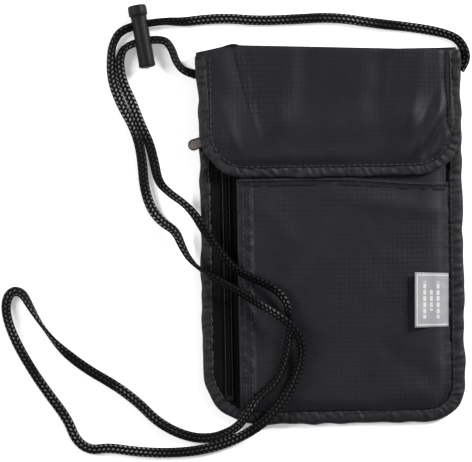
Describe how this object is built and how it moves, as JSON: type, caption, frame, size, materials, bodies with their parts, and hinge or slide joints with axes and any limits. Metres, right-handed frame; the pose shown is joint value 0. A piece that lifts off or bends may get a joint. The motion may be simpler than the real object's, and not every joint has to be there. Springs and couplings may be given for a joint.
{
  "type": "neck pouch wallet",
  "caption": "Flat fabric neck pouch with a fold-over flap, a zip pocket, a slip pocket, a braided neck cord and a sprung barrel toggle.",
  "frame": {"origin": "middle of the pouch's back face, on the surface that it lies on", "axes": "+Z out of the front, +Y towards the flap's fold, +X towards the side that carries the label"},
  "size_m": [0.2508, 0.2409, 0.0161],
  "materials": {
    "ripstop": "black ripstop nylon with a fine square grid and a faint sheen",
    "lining": "plain black taffeta",
    "shield_film": "thin silvery shielding film",
    "binding_tape": "self-fabric binding with a row of black stitches",
    "hook_and_loop": "black hook-and-loop pile",
    "zip_tape": "black herringbone tape",
    "zip_coil": "black nylon coil",
    "slider_metal": "black enamelled zinc",
    "puller_metal": "warm grey satin plating",
    "label_weave": null,
    "braided_cord": "flat braid, black with grey flecks",
    "toggle_plastic": "charcoal moulded plastic, satin",
    "spring_steel": "bright spring wire"
  },
  "bodies": {
    "pouch": {"back_panel": "ripstop", "shielding_layer": "shield_film", "divider_panel": "lining", "pocket_backing": "ripstop", "front_panel": "ripstop", "front_hem": "ripstop", "edge_binding": "binding_tape", "woven_label": "label_weave", "loop_strip": "hook_and_loop", "zip_tape_left": "zip_tape", "zip_tape_right": "zip_tape", "zip_coil_left": "zip_coil", "zip_coil_right": "zip_coil", "zip_top_stop_left": "slider_metal", "zip_top_stop_right": "slider_metal", "zip_bottom_stop": "slider_metal", "neck_cord": "braided_cord"},
    "flap": {"flap_outer": "ripstop", "flap_lining": "lining", "flap_binding": "binding_tape", "flap_fold": "ripstop", "hook_strip": "hook_and_loop"},
    "slider": {"zip_slider": "slider_metal"},
    "puller": {"zip_puller": "puller_metal"},
    "toggle": {"toggle_barrel": "toggle_plastic", "toggle_spring": "spring_steel"},
    "plunger": {"toggle_plunger": "toggle_plastic"}
  },
  "joints": [
    {"name": "flap_hinge", "type": "hinge", "parent": "pouch", "child": "flap", "pos_m": [0, 0.0969, 0.0069], "axis": [-1, 0, 0], "range_deg": [0, 180], "deforming": ["flap_fold"]},
    {"name": "zip_slide", "type": "slide", "parent": "pouch", "child": "slider", "axis": [0, -1, 0], "range_m": [0, 0.137]},
    {"name": "puller_swivel", "type": "hinge", "parent": "slider", "child": "puller", "pos_m": [-0.056, 0.0558, 0.006], "axis": [0, 0, 1], "range_deg": [0, 60]},
    {"name": "toggle_slide", "type": "slide", "parent": "pouch", "child": "toggle", "axis": [0.9877, 0.1564, 0], "range_m": [0, 0.003]},
    {"name": "plunger_press", "type": "slide", "parent": "toggle", "child": "plunger", "axis": [0.1564, -0.9877, 0], "range_m": [0, 0.0022], "stiffness_N_per_m": 600, "deforming": ["toggle_spring"]}
  ]
}
